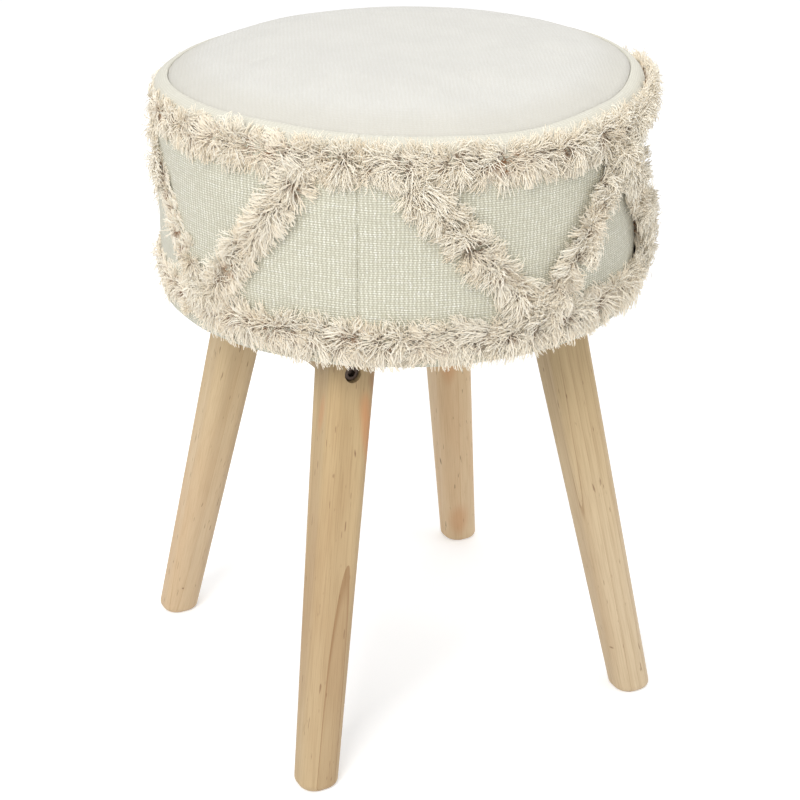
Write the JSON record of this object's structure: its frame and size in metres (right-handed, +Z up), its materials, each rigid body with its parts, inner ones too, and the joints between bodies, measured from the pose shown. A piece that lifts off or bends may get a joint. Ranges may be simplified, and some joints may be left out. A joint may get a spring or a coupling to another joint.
{
  "type": "round stool",
  "caption": "Round upholstered stool with a padded drum seat in woven cotton, tufted rings and zigzag fringe, on splayed tapered pine legs bolted to rails under the seat.",
  "frame": {"origin": "on the floor, under the middle of the seat", "axes": "+Z up, -Y the front, the rails run along Y"},
  "size_m": [0.3415, 0.3416, 0.459],
  "materials": {
    "top_cotton": "matte plain-woven cotton",
    "side_cotton": "matte slub-woven cotton",
    "fringe_yarn": "matte cut cotton yarn",
    "foam": "open-cell foam",
    "wadding": "soft fibre wadding",
    "dust_cloth": "matte non-woven cloth",
    "plywood": "raw",
    "bent_plywood": "raw",
    "post_pine": "raw",
    "rail_pine": "clear matte lacquer",
    "leg_pine": "clear matte lacquer",
    "beech": "raw, fluted",
    "black_steel": "black oxide",
    "zinc_steel": "zinc plated"
  },
  "bodies": {
    "root": {"cover_top": "top_cotton", "cover_side": "side_cotton", "fringe_ring_upper": "fringe_yarn", "fringe_ring_lower": "fringe_yarn", "fringe_chevron_1": "fringe_yarn", "fringe_chevron_2": "fringe_yarn", "fringe_chevron_3": "fringe_yarn", "fringe_chevron_4": "fringe_yarn", "fringe_chevron_5": "fringe_yarn", "fringe_chevron_6": "fringe_yarn", "seat_foam": "foam", "side_wadding": "wadding", "dust_cover": "dust_cloth", "top_board": "plywood", "base_board": "plywood", "drum_wall": "bent_plywood", "post_front_left": "post_pine", "post_front_right": "post_pine", "post_back_left": "post_pine", "post_back_right": "post_pine", "post_screws": "zinc_steel", "rail_left": "rail_pine", "rail_right": "rail_pine", "rail_screws": "zinc_steel", "barrel_nuts": "zinc_steel", "leg_dowels": "beech", "leg_bolts": "black_steel", "leg_front_left": "leg_pine", "leg_front_right": "leg_pine", "leg_back_left": "leg_pine", "leg_back_right": "leg_pine"}
  },
  "joints": []
}
